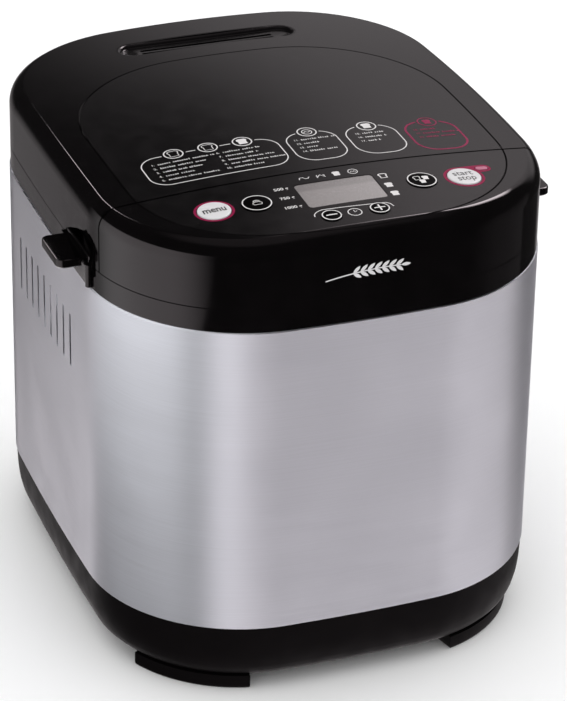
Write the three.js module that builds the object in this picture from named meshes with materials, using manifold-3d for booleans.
// Bread machine with a hinged lid, a lift-out pan and a belt-driven kneading paddle.
// Millimetres, +Z up, front towards -Y, feet on z = 0, y = 0 halfway between the front and back walls.
import * as THREE from 'three';
import { mergeVertices } from 'three/addons/utils/BufferGeometryUtils.js';
import Module from 'manifold-3d';

const wasm = await Module();
wasm.setup();

// ---- driving dimensions ----
const HALF_W = 134;          // steel side wall
const HALF_D = 158;          // steel front and back wall
const PLAN = { a: HALF_W, front: HALF_D, back: HALF_D, rf: 1070, rb: 1620, rs: 2400, cf: 92, cb: 83.5 };
const INSET = { a: 110.6, front: 151.8, back: 87.3, rf: 289, rb: 960, rs: 2480, cf: 77.7, cb: 82.8 };
const FOOT_H = 9;            // floor to underside of the base, the feet's height
const Z_STEEL_LOW = 45.5;
const Z_STEEL_TOP = 235.4;
const Z_SEAM = 249.5;        // lid and control housing sit on the frame here
const TOP = { z: 294.3, kx: 3.804e-4, ky: 2.13e-4, y: -18.4 };
const SKIN = 0.6;            // black mouldings stand this far inside the steel
const WALL = 2.6;
const SHEET = 1.2;
const GAP = 0.3;
const CREASE_IN = 8;         // crease to the moulding's side wall
const BEVEL = [[0, 11.5], [1.2, 6.2], [4, 2.5], [CREASE_IN, 0]];
const SEAM_Y = -83.6;        // between control housing and lid
const SEAM_GAP = 1.2;
const HINGE = { y: 146, z: 266, x: 55, pin: 2, roll: 16 };
const TAB = { x: 149.5, y0: -66, y1: -32, z0: 245, z1: 250.6, corner: 2 };
const POCKET = { y0: -78, y1: -30, z1: 266 };
const VENT = { x: 1, y: 113.8, half: 56.5, r: 10.4, depth: 4 };
const CHAMBER = { y: 30, hx: 92, hy: 82, r: 24, z0: 69, z1: 246.2 };
const ELEMENT = { z: 86, hx: 82, hy: 72, lead: 62, r: 3.2 };
const PAN = { hx0: 69, hy0: 56, hx1: 79, hy1: 66, r: 18, z0: 97, z1: 235, wall: 1.5 };
const DRIVE = { x: 0, y: 30, r: 50 };
const MOTOR = { x: 54, y: -100, r: 10 };
const BELT = { z0: 26.5, z1: 31.5 };
const LCD = { x: -0.3, y: -111.8, hx: 23, hy: 13.5 };
const BUTTONS = [
  { name: 'menu', x: -73.6, y: -110.3, r: 9.4 },
  { name: 'size', x: -49.2, y: -111.2, r: 8.6 },
  { name: 'minus', x: -15.6, y: -137.6, r: 5.8 },
  { name: 'plus', x: 12.6, y: -137.4, r: 5.8 },
  { name: 'crust', x: 47.6, y: -112.6, r: 8.6 },
  { name: 'start_stop', x: 72.9, y: -113.4, r: 9.6 },
];
const GLAND = { x: 60, y: 153.4, z: 30, r: 6, bore: 3.4, length: 5 };
const LIGHT = { x: 86.8, y: -105.2, half: 3.6, r: 1.8 };
const BUTTON_UP = 0.9;
const SLOTS = { count: 9, y0: -37.2, pitch: 12.65, z0: 167.5, z1: 201.5, r: 1.3 };

const FINISH = {
  steel: [0.68, 0.66, 0.69, 0.32, 1],
  gloss: [0.03, 0.028, 0.03, 0.12, 0],
  satin: [0.045, 0.043, 0.045, 0.5, 0],
  rubber: [0.03, 0.03, 0.03, 0.85, 0],
  silver: [0.78, 0.77, 0.79, 0.35, 0],
  maroon: [0.5, 0.01, 0.2, 0.3, 0],
  lcd: [0.42, 0.41, 0.38, 0.25, 0],
  board: [0.05, 0.22, 0.1, 0.5, 0],
  zinc: [0.62, 0.63, 0.65, 0.35, 1],
  alu: [0.75, 0.75, 0.77, 0.35, 1],
  coated: [0.08, 0.08, 0.085, 0.45, 0],
  copper: [0.55, 0.2, 0.08, 0.4, 0],
};

const part = new THREE.Group();
part.name = 'bread_machine';

// ---- solids from three.js geometry ----
function solid(geometry) {
  const bare = new THREE.BufferGeometry();
  bare.setAttribute('position', geometry.getAttribute('position'));
  if (geometry.index) bare.setIndex(geometry.index);
  const merged = mergeVertices(bare, 1e-4);
  const index = Array.from(merged.index.array);
  const triVerts = [];
  for (let i = 0; i < index.length; i += 3) {
    const [a, b, c] = index.slice(i, i + 3);
    if (a !== b && b !== c && c !== a) triVerts.push(a, b, c);
  }
  return new wasm.Manifold(new wasm.Mesh({
    numProp: 3,
    vertProperties: Float32Array.from(merged.attributes.position.array),
    triVerts: Uint32Array.from(triVerts),
  }));
}

function add(name, body, finish) {
  const data = body.getMesh();
  const geometry = new THREE.BufferGeometry();
  geometry.setAttribute('position', new THREE.BufferAttribute(Float32Array.from(data.vertProperties), 3));
  geometry.setIndex(Array.from(data.triVerts));
  geometry.computeVertexNormals();
  const [r, g, b, roughness, metalness] = FINISH[finish];
  const material = new THREE.MeshStandardMaterial({ color: new THREE.Color(r, g, b), roughness, metalness });
  const mesh = new THREE.Mesh(geometry, material);
  mesh.name = name;
  part.add(mesh);
}

// A closed solid through a stack of convex rings, each a list of [x, y, z] going anticlockwise from above.
function loft(rings) {
  const n = rings[0].length;
  const points = rings.flat();
  const index = [];
  for (let k = 0; k + 1 < rings.length; k += 1) {
    for (let i = 0; i < n; i += 1) {
      const a = k * n + i;
      const b = k * n + ((i + 1) % n);
      index.push(a, b, b + n, a, b + n, a + n);
    }
  }
  const middle = (ring) => ring.reduce((s, p) => s.map((v, j) => v + p[j] / n), [0, 0, 0]);
  const low = points.length;
  points.push(middle(rings[0]), middle(rings[rings.length - 1]));
  const last = (rings.length - 1) * n;
  for (let i = 0; i < n; i += 1) {
    const j = (i + 1) % n;
    index.push(low, j, i, low + 1, last + i, last + j);
  }
  const geometry = new THREE.BufferGeometry();
  geometry.setAttribute('position', new THREE.BufferAttribute(Float32Array.from(points.flat()), 3));
  geometry.setIndex(index);
  return solid(geometry);
}

const at = (ring, z) => ring.map(([x, y]) => [x, y, z]);
const prism = (ring, z0, z1) => loft([at(ring, z0), at(ring, z1)]);

function box(x0, x1, y0, y1, z0, z1) {
  const geometry = new THREE.BoxGeometry(x1 - x0, y1 - y0, z1 - z0);
  geometry.translate((x0 + x1) / 2, (y0 + y1) / 2, (z0 + z1) / 2);
  return solid(geometry);
}

function rod(x, y, z0, z1, r, sides = 24, top = r) {
  const geometry = new THREE.CylinderGeometry(top, r, z1 - z0, sides);
  geometry.rotateX(Math.PI / 2);
  geometry.translate(x, y, (z0 + z1) / 2);
  return solid(geometry);
}

function rodX(x0, x1, y, z, r, sides = 20) {
  const geometry = new THREE.CylinderGeometry(r, r, x1 - x0, sides);
  geometry.rotateZ(Math.PI / 2);
  geometry.translate((x0 + x1) / 2, y, z);
  return solid(geometry);
}

function circle(x, y, r, sides = 32) {
  return Array.from({ length: sides }, (_, i) => {
    const t = (2 * Math.PI * i) / sides;
    return [x + r * Math.cos(t), y + r * Math.sin(t)];
  });
}

function arc(cx, cy, r, from, to, steps) {
  return Array.from({ length: steps + 1 }, (_, i) => {
    const t = from + ((to - from) * i) / steps;
    return [cx + r * Math.cos(t), cy + r * Math.sin(t)];
  });
}

function roundRect(cx, cy, hx, hy, r, steps = 4) {
  const quarter = Math.PI / 2;
  return [[1, 1], [-1, 1], [-1, -1], [1, -1]].flatMap(([sx, sy], k) => (
    arc(cx + sx * (hx - r), cy + sy * (hy - r), r, k * quarter, (k + 1) * quarter, steps)
  ));
}

function pill(x, y, half, r, steps = 8) {
  return [...arc(x + half - r, y, r, -Math.PI / 2, Math.PI / 2, steps),
    ...arc(x - half + r, y, r, Math.PI / 2, 1.5 * Math.PI, steps)];
}

function sweep(points, r, steps, sides = 8) {
  const shape = new THREE.Shape(circle(0, 0, r, sides).map((p) => new THREE.Vector2(...p)));
  const rail = new THREE.CatmullRomCurve3(points.map((p) => new THREE.Vector3(...p)), false, 'centripetal');
  return solid(new THREE.ExtrudeGeometry(shape, { steps, extrudePath: rail, bevelEnabled: false }));
}

// ---- the plan outline: four shallow arcs with round corners, moved out or in by d ----
function meet(c1, r1, c2, r2, side) {
  const dx = c2[0] - c1[0];
  const dy = c2[1] - c1[1];
  const d = Math.hypot(dx, dy);
  const t = (r1 * r1 - r2 * r2 + d * d) / (2 * d);
  const h = Math.sqrt(r1 * r1 - t * t) * side;
  return [c1[0] + (t * dx - h * dy) / d, c1[1] + (t * dy + h * dx) / d];
}

function outline(plan, d = 0) {
  const front = [0, -plan.front + plan.rf];
  const back = [0, plan.back - plan.rb];
  const side = [plan.a - plan.rs, -20];
  const low = meet(front, plan.rf - plan.cf, side, plan.rs - plan.cf, 1);
  const high = meet(back, plan.rb - plan.cb, side, plan.rs - plan.cb, -1);
  const angle = (from, to) => Math.atan2(to[1] - from[1], to[0] - from[0]);
  const a0 = angle(front, low);
  const a1 = angle(side, low);
  const a2 = angle(side, high);
  const a3 = angle(back, high);
  const right = [
    ...arc(...front, plan.rf + d, -Math.PI / 2, a0, 3),
    ...arc(...low, plan.cf + d, a0, a1, 7).slice(1),
    ...arc(...side, plan.rs + d, a1, a2, 3).slice(1),
    ...arc(...high, plan.cb + d, a2, a3, 7).slice(1),
    ...arc(...back, plan.rb + d, a3, Math.PI / 2, 3).slice(1),
  ];
  const left = right.slice(1, -1).reverse().map(([x, y]) => [-x, y]);
  return [...right, ...left];
}

const topZ = (x, y) => TOP.z - TOP.kx * x * x - TOP.ky * (y - TOP.y) ** 2;

// The domed upper block: straight wall, rolled bevel, crisp crease, shallow dome.
function block(d, lift, z0) {
  const crease = outline(PLAN, d - CREASE_IN);
  const rings = [at(outline(PLAN, d), z0)];
  BEVEL.forEach(([inset, drop]) => {
    const ring = outline(PLAN, d - inset);
    rings.push(ring.map(([x, y], i) => [x, y, topZ(...crease[i]) - drop + lift]));
  });
  [0.68, 0.34].forEach((s) => {
    rings.push(crease.map(([x, y]) => [x * s, y * s, topZ(x * s, y * s) + lift]));
  });
  return loft(rings);
}

const slab = (ring, lift0, lift1, z0) => prism(ring, z0, 310)
  .intersect(block(-SKIN, lift1, z0))
  .subtract(block(-SKIN, lift0, z0 - 1));

// ---- base ----
function footRing(side, end, r0, r1) {
  const corner = end < 0 ? [42.5, -66.5] : [50.5, 74.5];
  const from = end < 0 ? (-76 * Math.PI) / 180 : (25 * Math.PI) / 180;
  const to = end < 0 ? (-25 * Math.PI) / 180 : (76 * Math.PI) / 180;
  const ring = [...arc(...corner, r1, from, to, 5), ...arc(...corner, r0, to, from, 5)];
  return side > 0 ? ring : ring.map(([x, y]) => [-x, y]).reverse();
}

function footPrism(side, end, z0, z1) {
  const outer = (end < 0 ? PLAN.cf : PLAN.cb) - 9.6;
  const shape = new THREE.Shape(footRing(side, end, outer - 20, outer).map((p) => new THREE.Vector2(...p)));
  const geometry = new THREE.ExtrudeGeometry(shape, { depth: z1 - z0, bevelEnabled: false });
  geometry.translate(0, 0, z0);
  return solid(geometry);
}

const CORNERS = [['front_left', -1, -1], ['front_right', 1, -1], ['back_left', -1, 1], ['back_right', 1, 1]];

function baseTray() {
  const profile = [[FOOT_H, 9.6], [14, 5.2], [24, 2], [Z_STEEL_LOW - GAP, SKIN],
    [Z_STEEL_LOW - GAP, SHEET + 0.4], [53, SHEET + 0.4]];
  const outer = loft(profile.map(([z, inset]) => at(outline(PLAN, -inset), z)));
  const inner = loft([[FOOT_H + 3, 12.5], [20, 6], [54, 4.2]]
    .map(([z, inset]) => at(outline(PLAN, -inset), z)));
  let tray = outer.subtract(inner);
  [[-44, 74], [44, 74], [-44, -14], [84, -62], [26, -124]].forEach(([x, y]) => {
    tray = tray.add(rod(x, y, FOOT_H + 1, 39.7, 5, 8));
  });
  for (let i = -2; i <= 2; i += 1) {
    tray = tray.subtract(prism(pill(-80, 20 + i * 10, 18, 1.8, 2), FOOT_H - 1, FOOT_H + 4));
  }
  const gland = new THREE.CylinderGeometry(GLAND.r + GAP, GLAND.r + GAP, 30, 16);
  gland.translate(GLAND.x, GLAND.y, GLAND.z);
  add('base_tray', tray.subtract(solid(gland)), 'satin');
}

function rubberFeet() {
  CORNERS.forEach(([name, side, end]) => {
    add(`rubber_foot_${name}`, footPrism(side, end, 0, FOOT_H - GAP), 'rubber');
  });
}

function cordGland() {
  const bush = new THREE.CylinderGeometry(GLAND.r, GLAND.r, GLAND.length, 16);
  bush.translate(GLAND.x, GLAND.y, GLAND.z);
  const bore = new THREE.CylinderGeometry(GLAND.bore, GLAND.bore, 12, 12);
  bore.translate(GLAND.x, GLAND.y, GLAND.z);
  add('cord_gland', solid(bush).subtract(solid(bore)), 'rubber');
}

// ---- body ----
function steelHousing() {
  const outer = prism(outline(PLAN), Z_STEEL_LOW, Z_STEEL_TOP);
  let sleeve = outer.subtract(prism(outline(PLAN, -SHEET), Z_STEEL_LOW - 1, Z_STEEL_TOP + 1));
  for (let i = 0; i < SLOTS.count; i += 1) {
    const y = SLOTS.y0 + i * SLOTS.pitch;
    const shape = new THREE.Shape(pill(0, y, (SLOTS.z1 - SLOTS.z0) / 2, SLOTS.r, 3)
      .map(([u, v]) => new THREE.Vector2(u, v)));
    const cutter = new THREE.ExtrudeGeometry(shape, { depth: 2 * HALF_W + 20, bevelEnabled: false });
    cutter.rotateY(-Math.PI / 2);
    cutter.translate(HALF_W + 10, 0, (SLOTS.z0 + SLOTS.z1) / 2);
    sleeve = sleeve.subtract(solid(cutter));
  }
  add('steel_housing', sleeve, 'steel');
}

function topFrame() {
  const inside = SHEET + 0.4;
  const outer = loft([[226, inside], [Z_STEEL_TOP + GAP, inside], [Z_STEEL_TOP + GAP, SKIN], [Z_SEAM, SKIN]]
    .map(([z, inset]) => at(outline(PLAN, -inset), z)));
  let frame = outer.subtract(prism(outline(PLAN, -4), 225, Z_SEAM - 3));
  frame = frame.subtract(prism(roundRect(0, CHAMBER.y, CHAMBER.hx, CHAMBER.hy, CHAMBER.r), 240, 260));
  frame = frame.subtract(box(-60, 60, -135, -92, 240, 260));
  const ledge = prism(outline(PLAN, 1), Z_STEEL_TOP + 1, Z_SEAM)
    .subtract(prism(outline(PLAN, -3), Z_STEEL_TOP, Z_SEAM + 1))
    .intersect(box(-140, 140, -70, -26, 230, 260));
  frame = frame.add(ledge);
  [-1, 1].forEach((side) => {
    const x = side * HINGE.x;
    const post = box(x - 6, x + 6, HINGE.y - 5, HINGE.y + 5, Z_SEAM - 1, HINGE.z);
    const barrel = rodX(x - 6, x + 6, HINGE.y, HINGE.z, 5.6, 16);
    const bore = rodX(x - 8, x + 8, HINGE.y, HINGE.z, HINGE.pin + GAP, 14);
    frame = frame.add(post).add(barrel).subtract(bore);
  });
  add('top_frame', frame, 'gloss');
}

// ---- control housing ----
function controlHousing() {
  const edge = SEAM_Y - SEAM_GAP / 2;
  const front = box(-200, 200, -200, edge, 200, 320);
  const inner = block(-SKIN - WALL, -4.6, 240).intersect(box(-200, 200, -200, edge - WALL, 200, 320));
  let shell = block(-SKIN, 0, Z_SEAM + GAP).intersect(front).subtract(inner);
  shell = shell.subtract(prism(outline(INSET), 270, 310).subtract(block(-SKIN, -2.3, 260)));
  const opening = prism(outline(INSET, -5), 270, 310).intersect(box(-200, 200, -200, edge - 6, 200, 320));
  add('control_housing', shell.subtract(opening), 'gloss');
}

function controlPanel() {
  const edge = SEAM_Y - SEAM_GAP / 2;
  let panel = slab(outline(INSET, -GAP), -2, 0, 270).intersect(box(-200, 200, -200, edge, 200, 320));
  [[-92, -98], [92, -96], [-40, -134], [40, -134]].forEach(([x, y]) => {
    panel = panel.add(rod(x, y, 280.6 + GAP, topZ(x, y) - 1, 2.5, 6));
  });
  BUTTONS.forEach(({ x, y, r }) => {
    panel = panel.subtract(prism(circle(x, y, r + GAP, 20), 280, 300));
  });
  panel = panel.subtract(prism(pill(LIGHT.x, LIGHT.y, LIGHT.half + GAP, LIGHT.r + GAP, 3), 280, 300));
  panel = panel.subtract(prism(roundRect(LCD.x, LCD.y, LCD.hx + GAP, LCD.hy + GAP, 2.5, 3), 280, 300));
  add('control_panel', panel, 'gloss');
}

function button({ name, x, y, r }) {
  const cap = prism(circle(x, y, r, 20), 286.2, 300).intersect(block(-SKIN, BUTTON_UP, 280));
  const stem = rod(x, y, 284.9, 287, 2.5, 8);
  const finish = name === 'menu' || name === 'start_stop' ? 'silver' : 'gloss';
  add(`${name}_button`, cap.add(stem), finish);
}

function display() {
  add('display_window', slab(roundRect(LCD.x, LCD.y, LCD.hx, LCD.hy, 2.2, 3), -1.4, -0.2, 280), 'lcd');
  add('display_module', box(LCD.x - 24, LCD.x + 24, LCD.y - 14, LCD.y + 14, 281, 288.4), 'satin');
  const lens = prism(pill(LIGHT.x, LIGHT.y, LIGHT.half, LIGHT.r, 3), 284, 300).intersect(block(-SKIN, 0.3, 280));
  add('status_light', lens, 'silver');
}

function controlBoard() {
  let board = prism(outline(INSET, -9), 279, 280.6).intersect(box(-110, 110, -145, -94, 270, 290));
  BUTTONS.forEach(({ x, y }) => {
    board = board.add(box(x - 3, x + 3, y - 3, y + 3, 280, 283.6));
  });
  board = board.add(box(LIGHT.x - 2, LIGHT.x + 2, LIGHT.y - 1.5, LIGHT.y + 1.5, 280, 283.6));
  add('control_board', board, 'board');
}

// ---- lid ----
function lidCover() {
  const edge = SEAM_Y + SEAM_GAP / 2;
  const inner = block(-SKIN - WALL, -WALL, 240).intersect(box(-200, 200, edge + WALL, 200, 200, 320));
  let cover = block(-SKIN, 0, Z_SEAM + GAP).intersect(box(-200, 200, edge, 200, 200, 320)).subtract(inner);
  cover = cover.subtract(prism(outline(INSET), 270, 310).subtract(block(-SKIN, -1.4, 260)));
  [-1, 1].forEach((side) => {
    const x = side * HINGE.x;
    [-1, 1].forEach((cheek) => {
      const c = x + cheek * 9.5;
      const plate = box(c - 1.5, c + 1.5, HINGE.y - 7, 157, HINGE.z - 6, 300).intersect(block(-SKIN, -0.5, 240));
      cover = cover.add(plate);
    });
    cover = cover.subtract(box(x - 7, x + 7, HINGE.y - 1, 165, 240, HINGE.z + 9));
    cover = cover.subtract(rodX(x - 14, x + 14, HINGE.y, HINGE.z, HINGE.pin + GAP, 14));
    const wall = side * HALF_W;
    const notch = box(Math.min(wall, side * 125), Math.max(wall, side * 125),
      POCKET.y0, POCKET.y1, 240, POCKET.z1);
    cover = cover.subtract(notch);
  });
  const roll = box(-200, 200, HINGE.y, 170, 240, HINGE.z).subtract(rodX(-201, 201, HINGE.y, HINGE.z, HINGE.roll, 32));
  cover = cover.subtract(roll).subtract(prism(pill(VENT.x, VENT.y, VENT.half, VENT.r), 270, 310));
  add('lid_cover', cover, 'gloss');
}

function lidPanel() {
  const edge = SEAM_Y + SEAM_GAP / 2;
  const plate = slab(outline(INSET, -GAP), -1.1, 0, 270).intersect(box(-200, 200, edge, 200, 200, 320));
  add('lid_panel', plate, 'gloss');
}

function lidHandle(name, side) {
  const span = (a, b, ...rest) => box(Math.min(side * a, side * b), Math.max(side * a, side * b), ...rest);
  const wall = HALF_W - SKIN;
  const tab = roundRect(side * (TAB.x - 20), (TAB.y0 + TAB.y1) / 2, 20, (TAB.y1 - TAB.y0) / 2, TAB.corner, 4);
  let insert = prism(tab, TAB.z0, TAB.z1).subtract(span(0, HALF_W + 1.6, -90, 0, 240, Z_SEAM + GAP));
  insert = insert.subtract(span(0, 120, -90, 0, 240, 260));
  insert = insert.add(span(123, wall - GAP, POCKET.y0 + GAP, POCKET.y1 - GAP, Z_SEAM + GAP, Z_SEAM + 2.2));
  insert = insert.add(span(wall - 2.4, wall, TAB.y0 - 3.5, POCKET.y1 - GAP, Z_SEAM + GAP, 254));
  insert = insert.add(span(120, 122, POCKET.y0, POCKET.y1, Z_SEAM + GAP, POCKET.z1 + 4));
  insert = insert.add(span(121, 124, POCKET.y0 + GAP, POCKET.y1 - GAP, Z_SEAM + GAP, Z_SEAM + 2.2));
  add(name, insert, 'gloss');
}

function steamVent() {
  const depth = VENT.depth;
  let grille = prism(pill(VENT.x, VENT.y, VENT.half - GAP, VENT.r - GAP), 284, 300)
    .intersect(block(-SKIN, -0.1, 280));
  const pocket = prism(pill(VENT.x, VENT.y, VENT.half - 3.4, VENT.r - 3), 280, 300)
    .subtract(block(-SKIN, -depth, 270));
  grille = grille.subtract(pocket);
  [-2.6, 2.6].forEach((dy) => {
    grille = grille.subtract(prism(pill(VENT.x, VENT.y + dy, 43, 1.1, 2), 280, 300));
  });
  add('steam_vent', grille, 'satin');
}

function lidLiner() {
  const plate = prism(outline(PLAN, -7), 250, 250.8).intersect(box(-118.5, 118.5, SEAM_Y + 5, 134, 240, 260));
  const dish = (grow, low, high) => loft([
    at(roundRect(0, CHAMBER.y, 98 + grow, 84 + grow, 26), low),
    at(roundRect(0, CHAMBER.y, 84 + grow, 72 + grow, 22), high)]);
  let liner = plate.add(dish(0.9, 250.2, 267)).subtract(dish(0, 249.9, 266.2));
  for (let i = -4; i <= 4; i += 1) {
    liner = liner.subtract(prism(pill(i * 9, 104, 3, 1.4, 2), 240, 275));
  }
  add('lid_liner', liner, 'alu');
}

function hingePins() {
  [['left', -1], ['right', 1]].forEach(([name, side]) => {
    const x = side * HINGE.x;
    add(`hinge_pin_${name}`, rodX(x - 10.8, x + 10.8, HINGE.y, HINGE.z, HINGE.pin, 16), 'zinc');
  });
}

// ---- oven chamber ----
function chamber() {
  const { y, hx, hy, r, z0, z1 } = CHAMBER;
  const outer = loft([at(roundRect(0, y, hx - 3, hy - 3, r), z0), at(roundRect(0, y, hx + 1, hy + 1, r), z0 + 5),
    at(roundRect(0, y, hx + 1, hy + 1, r), z1 - 1), at(roundRect(0, y, hx + 9, hy + 9, r + 6), z1 - 1),
    at(roundRect(0, y, hx + 9, hy + 9, r + 6), z1)]);
  const inner = loft([at(roundRect(0, y, hx - 4, hy - 4, r), z0 + 1), at(roundRect(0, y, hx, hy, r), z0 + 6),
    at(roundRect(0, y, hx, hy, r), z1 + 1)]);
  let shell = outer.subtract(inner).subtract(rod(DRIVE.x, DRIVE.y, 60, 80, 8, 20));
  [-1, 1].forEach((side) => {
    shell = shell.subtract(rod(side * 12, y + ELEMENT.lead, 60, 80, 4.2, 12));
  });
  add('oven_chamber', shell, 'zinc');
}

function heatingElement() {
  const { y } = CHAMBER;
  const { z, hx, hy, lead } = ELEMENT;
  const half = roundRect(0, y, hx, hy, 22, 2).filter(([px]) => px > 20);
  const right = [...half.filter(([, py]) => py > y).reverse(), ...half.filter(([, py]) => py < y).reverse()];
  const ends = [[12, y + lead, 56], [12, y + lead, 66], [12, y + lead, 75], [16, y + lead + 4, 82]];
  const loop = [...ends, [26, y + hy, z], ...right.map(([px, py]) => [px, py, z])];
  const back = loop.map(([px, py, pz]) => [-px, py, pz]).reverse();
  add('heating_element', sweep([...loop, ...back], ELEMENT.r, 38, 7), 'zinc');
}

function elementClips() {
  [['left', -82], ['right', 82]].forEach(([name, x]) => {
    const stand = box(x - 5, x + 5, CHAMBER.y - 4, CHAMBER.y + 4, CHAMBER.z0 + 6.5, 82.3);
    const foot = box(x - 6, x + 4, CHAMBER.y - 4, CHAMBER.y + 4, CHAMBER.z0 + 6.5, CHAMBER.z0 + 8);
    add(`element_clip_${name}`, stand.add(foot).intersect(box(-88, 88, 0, 60, 60, 90)), 'zinc');
  });
}

function temperatureProbe() {
  const y = CHAMBER.y - CHAMBER.hy;
  const tube = new THREE.CylinderGeometry(2.5, 2.5, 14, 14);
  tube.translate(0, y + 8, 120);
  const flange = new THREE.CylinderGeometry(7, 7, 1.2, 18);
  flange.translate(0, y + 0.9 + GAP, 120);
  add('temperature_probe', solid(tube).add(solid(flange)), 'zinc');
}

function panSocket() {
  const ring = rod(DRIVE.x, DRIVE.y, CHAMBER.z0 + 1 + GAP, 82, 50, 32).subtract(rod(DRIVE.x, DRIVE.y, 60, 90, 46, 32));
  const web = rod(DRIVE.x, DRIVE.y, CHAMBER.z0 + 1 + GAP, 73, 48, 32).subtract(rod(DRIVE.x, DRIVE.y, 60, 90, 32, 24));
  add('pan_socket', ring.add(web), 'alu');
}

// ---- drive ----
function driveBracket() {
  const plate = prism(roundRect(0, 30, 52, 52, 12), 40, 43)
    .add(prism(roundRect(54, -92, 38, 42, 12), 40, 43))
    .add(box(20, 54, -56, -20, 40, 43));
  const tube = rod(DRIVE.x, DRIVE.y, 36, 64, 12, 20);
  let bracket = plate.add(tube).subtract(rod(DRIVE.x, DRIVE.y, 30, 70, 4 + GAP, 16));
  bracket = bracket.subtract(rod(MOTOR.x, MOTOR.y, 30, 50, 9, 16));
  add('drive_bracket', bracket, 'zinc');
}

function pulley(x, y, r, flange, sides) {
  return rod(x, y, 25, 33, r - 0.5, sides).add(rod(x, y, 24.4, 26, r + flange, sides))
    .add(rod(x, y, 32, 33.6, r + flange, sides));
}

function driveTrain() {
  const wheel = pulley(DRIVE.x, DRIVE.y, DRIVE.r, 2.2, 36);
  const disc = wheel.subtract(rod(DRIVE.x, DRIVE.y, 28.5, 40, 44, 24).subtract(rod(DRIVE.x, DRIVE.y, 20, 50, 12, 16)));
  add('large_pulley', disc.subtract(rod(DRIVE.x, DRIVE.y, 20, 40, 4 + GAP, 16)), 'satin');
  add('drive_shaft', rod(DRIVE.x, DRIVE.y, 22.5, 80, 4, 16), 'zinc');
  let dog = rod(DRIVE.x, DRIVE.y, 72, 80.5, 10, 16).add(rod(DRIVE.x, DRIVE.y, 72, 78, 19, 20));
  dog = dog.add(box(-19, -13, 26, 34, 76, 89).add(box(13, 19, 26, 34, 76, 89)));
  add('drive_coupling', dog.subtract(rod(DRIVE.x, DRIVE.y, 60, 80 + GAP, 4 + GAP, 16)), 'alu');
  const small = pulley(MOTOR.x, MOTOR.y, MOTOR.r, 2.2, 18);
  add('motor_rotor', small.add(rod(MOTOR.x, MOTOR.y, 22.5, 46.7, 4, 16)), 'zinc');
}

function beltRing(r1, r2) {
  const dx = MOTOR.x - DRIVE.x;
  const dy = MOTOR.y - DRIVE.y;
  const lean = Math.acos((r1 - r2) / Math.hypot(dx, dy));
  const axis = Math.atan2(dy, dx);
  const wide = arc(DRIVE.x, DRIVE.y, r1, axis + lean, axis - lean + 2 * Math.PI, 30);
  const tight = arc(MOTOR.x, MOTOR.y, r2, axis - lean, axis + lean, 8);
  return [...wide, ...tight];
}

function belt() {
  const outer = prism(beltRing(DRIVE.r + 1.6, MOTOR.r + 1.6), BELT.z0, BELT.z1);
  const inner = prism(beltRing(DRIVE.r + 0.1, MOTOR.r + 0.1), BELT.z0 - 1, BELT.z1 + 1);
  add('drive_belt', outer.subtract(inner), 'rubber');
}

function motor() {
  const { x, y } = MOTOR;
  const stack = prism(roundRect(x, y, 31, 31, 5, 3), 56, 90);
  const bells = rod(x, y, 43.3, 104, 26, 24);
  const boss = rod(x, y, 43.3, 110, 8, 12);
  add('drive_motor', stack.add(bells).add(boss).subtract(rod(x, y, 40, 47, 4 + GAP, 16)), 'zinc');
  add('motor_capacitor', rod(-30, -122, FOOT_H + 3 + GAP, 70, 14, 20), 'alu');
}

function electronics() {
  add('power_board', box(-106, -42, -101, -99.4, 48, 128), 'board');
  add('transformer', box(-100, -70, -98.9, -74, 56, 86), 'satin');
  add('relay', box(-62, -46, -98.9, -84, 92, 112), 'satin');
  const shield = box(-84, 84, -66.2, -65.4, 112, 244);
  add('heat_shield', shield.add(box(-84, 84, -66.2, -61, 112, 112.8)), 'alu');
}

// ---- pan ----
function panShape(grow, z0, z1) {
  const k = (z) => (z - PAN.z0) / (PAN.z1 - PAN.z0);
  const ring = (z, extra = 0) => {
    const hx = PAN.hx0 + (PAN.hx1 - PAN.hx0) * k(z) + grow + extra;
    const hy = PAN.hy0 + (PAN.hy1 - PAN.hy0) * k(z) + grow + extra;
    return at(roundRect(DRIVE.x, DRIVE.y, hx, hy, PAN.r + grow), z);
  };
  return loft([ring(z0, -5), ring(z0 + 2, -1.6), ring(z0 + 5), ring(z1)]);
}

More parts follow.
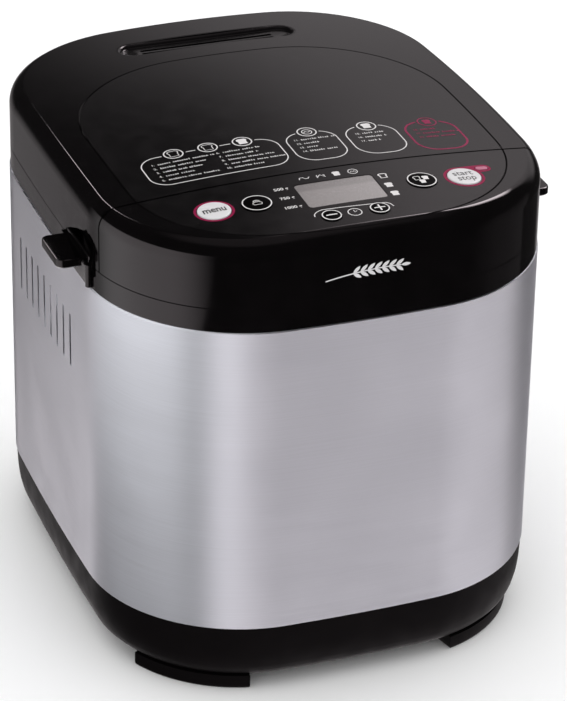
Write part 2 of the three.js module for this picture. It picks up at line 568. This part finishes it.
function pan() {
  const lip = (grow, z0, z1) => prism(roundRect(0, DRIVE.y, PAN.hx1 + grow, PAN.hy1 + grow, PAN.r + grow), z0, z1);
  let body = panShape(0, PAN.z0, PAN.z1).add(lip(3, PAN.z1 - 1, PAN.z1 + 1));
  [-1, 1].forEach((side) => {
    const inner = side * (PAN.hx1 - 1);
    const outer = side * (PAN.hx1 + 3);
    body = body.add(box(Math.min(inner, outer), Math.max(inner, outer), DRIVE.y - 7, DRIVE.y + 7, 222, PAN.z1));
  });
  body = body.subtract(panShape(-PAN.wall, PAN.z0 + PAN.wall, PAN.z1 + 4));
  const neck = rod(DRIVE.x, DRIVE.y, 91.5, PAN.z0 + 3, 13, 20).add(rod(DRIVE.x, DRIVE.y, PAN.z0 + 1, 104, 9, 20));
  body = body.add(neck).subtract(rod(DRIVE.x, DRIVE.y, 85, 110, 4 + GAP, 16));
  [-1, 1].forEach((side) => {
    const x = side * (PAN.hx1 + 3);
    body = body.subtract(rodX(x - 2.6, x + 2, DRIVE.y, 227.5, 2.9, 12));
  });
  add('bread_pan', body, 'coated');
  const skirt = rod(DRIVE.x, DRIVE.y, CHAMBER.z0 + 1 + 2 * GAP, PAN.z0 - GAP, 53, 32)
    .subtract(rod(DRIVE.x, DRIVE.y, 60, 93, 50.8, 32)).subtract(rod(DRIVE.x, DRIVE.y, 60, 110, 34, 24));
  const bearing = skirt.subtract(panShape(GAP, PAN.z0, PAN.z1));
  add('pan_skirt', bearing, 'alu');
}

function bail() {
  const y = DRIVE.y;
  const x = PAN.hx1 + 7.2;
  const wire = [[5.2 - x, y, 227.5], [2.6 - x, y, 227.5], [1.2 - x, y - 0.2, 227.6], [0.1 - x, y - 1.6, 229], [-x, y - 5, 233.6], [-x, y - 14, 239.2],
    [-x, y - 24, 239.8], [-x, y - 50, 239.8], [5 - x, y - 60, 239.8], [15 - x, y - 64, 239.8], [0, y - 64, 239.8]];
  const mirrored = wire.slice(0, -1).reverse().map(([px, py, pz]) => [-px, py, pz]);
  add('pan_handle', sweep([...wire, ...mirrored], 2.1, 40, 7), 'zinc');
}

function paddleDrive() {
  const { x, y } = DRIVE;
  const bar = box(x - 4, x + 4, y - 18, y + 18, 83, 89).add(rod(x, y, 83, 90.8, 8, 16));
  add('pan_spindle', rod(x, y, 84, 120, 4, 16).add(bar), 'zinc');
  const hub = rod(x, y, 104.5, 124, 8.5, 18, 7);
  const blade = new THREE.Shape([[4, -3], [14, -4], [28, -5], [38, -2], [42, 4], [38, 3], [28, 0.5], [14, 2], [4, 3]]
    .map(([u, v]) => new THREE.Vector2(u, v)));
  const fin = new THREE.ExtrudeGeometry(blade, { depth: 26, bevelEnabled: false });
  fin.translate(x, y, 104.5);
  const paddle = hub.add(solid(fin)).subtract(rod(x, y, 100, 120 + GAP, 4 + GAP, 16));
  add('kneading_paddle', paddle, 'coated');
}

baseTray();
rubberFeet();
cordGland();
steelHousing();
topFrame();
controlHousing();
controlPanel();
BUTTONS.forEach(button);
display();
controlBoard();
lidCover();
lidPanel();
lidHandle('lid_handle_left', -1);
lidHandle('lid_handle_right', 1);
steamVent();
lidLiner();
hingePins();
chamber();
heatingElement();
elementClips();
temperatureProbe();
panSocket();
driveBracket();
driveTrain();
belt();
motor();
electronics();
pan();
bail();
paddleDrive();

export default part;
